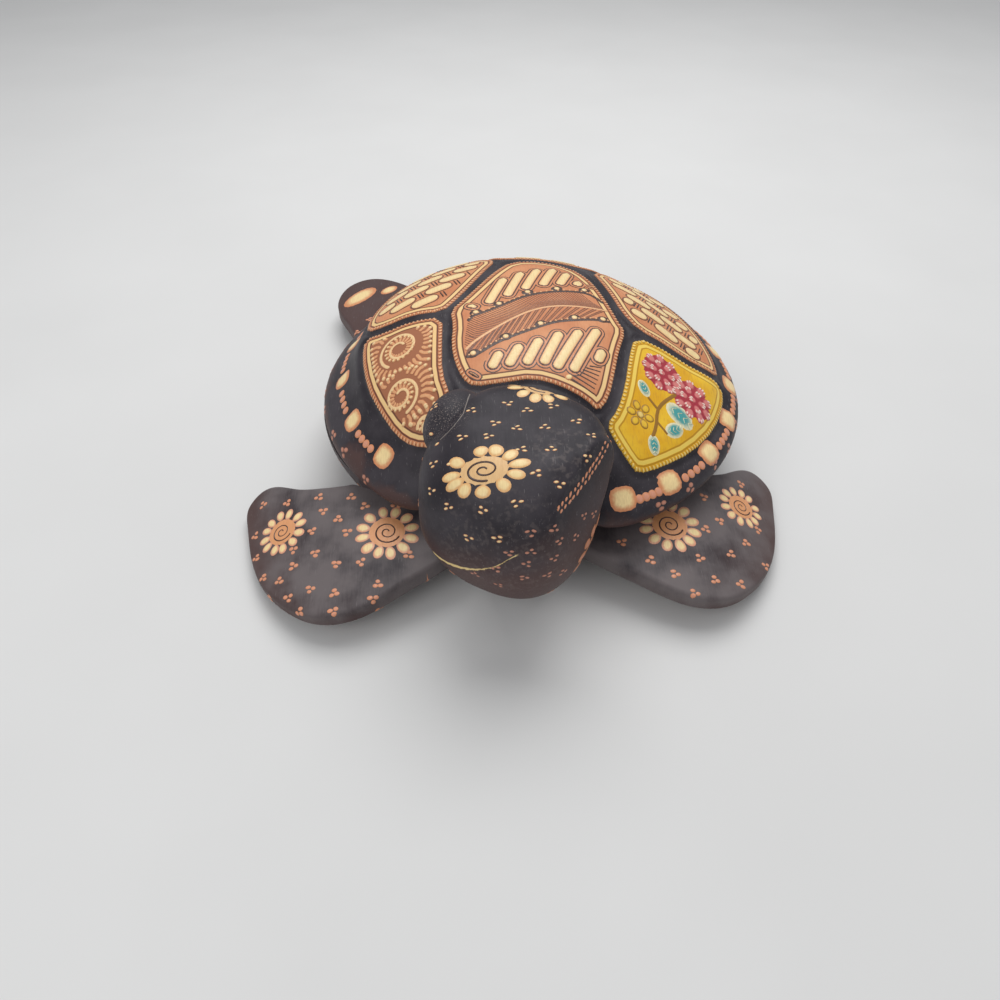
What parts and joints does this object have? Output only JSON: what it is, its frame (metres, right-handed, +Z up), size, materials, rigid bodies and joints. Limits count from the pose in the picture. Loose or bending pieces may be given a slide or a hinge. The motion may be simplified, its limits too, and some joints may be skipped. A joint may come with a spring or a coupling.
{
  "type": "turtle figurine",
  "caption": "Carved wooden sea turtle box in wax-resist dyed patterns; the domed shell is a lid that swivels on a dowel behind the neck, over a hollow body.",
  "frame": {"origin": "middle of the flat underside of the body, on the surface it stands on", "axes": "+Z up, -Y the way the body and its flippers face, +X the turtle's own left"},
  "size_m": [0.1542, 0.1701, 0.0545],
  "materials": {
    "dyed_wood": "satin",
    "patterned_wood": "satin",
    "bare_wood": "matte"
  },
  "bodies": {
    "base": {"body": "dyed_wood", "head": "dyed_wood", "tail": "dyed_wood", "front_left_flipper": "dyed_wood", "front_right_flipper": "dyed_wood", "rear_left_flipper": "dyed_wood", "rear_right_flipper": "dyed_wood", "lid_pivot_dowel": "bare_wood", "neck_dowel": "bare_wood", "tail_dowel": "bare_wood", "front_left_flipper_dowels": "bare_wood", "front_right_flipper_dowels": "bare_wood", "rear_left_flipper_dowel": "bare_wood", "rear_right_flipper_dowel": "bare_wood"},
    "lid": {"shell_lid": "patterned_wood"}
  },
  "joints": [
    {"name": "lid_swing", "type": "hinge", "parent": "base", "child": "lid", "pos_m": [0, -0.041, 0.0202], "axis": [0, 0, 1], "range_deg": [-20, 40]}
  ]
}
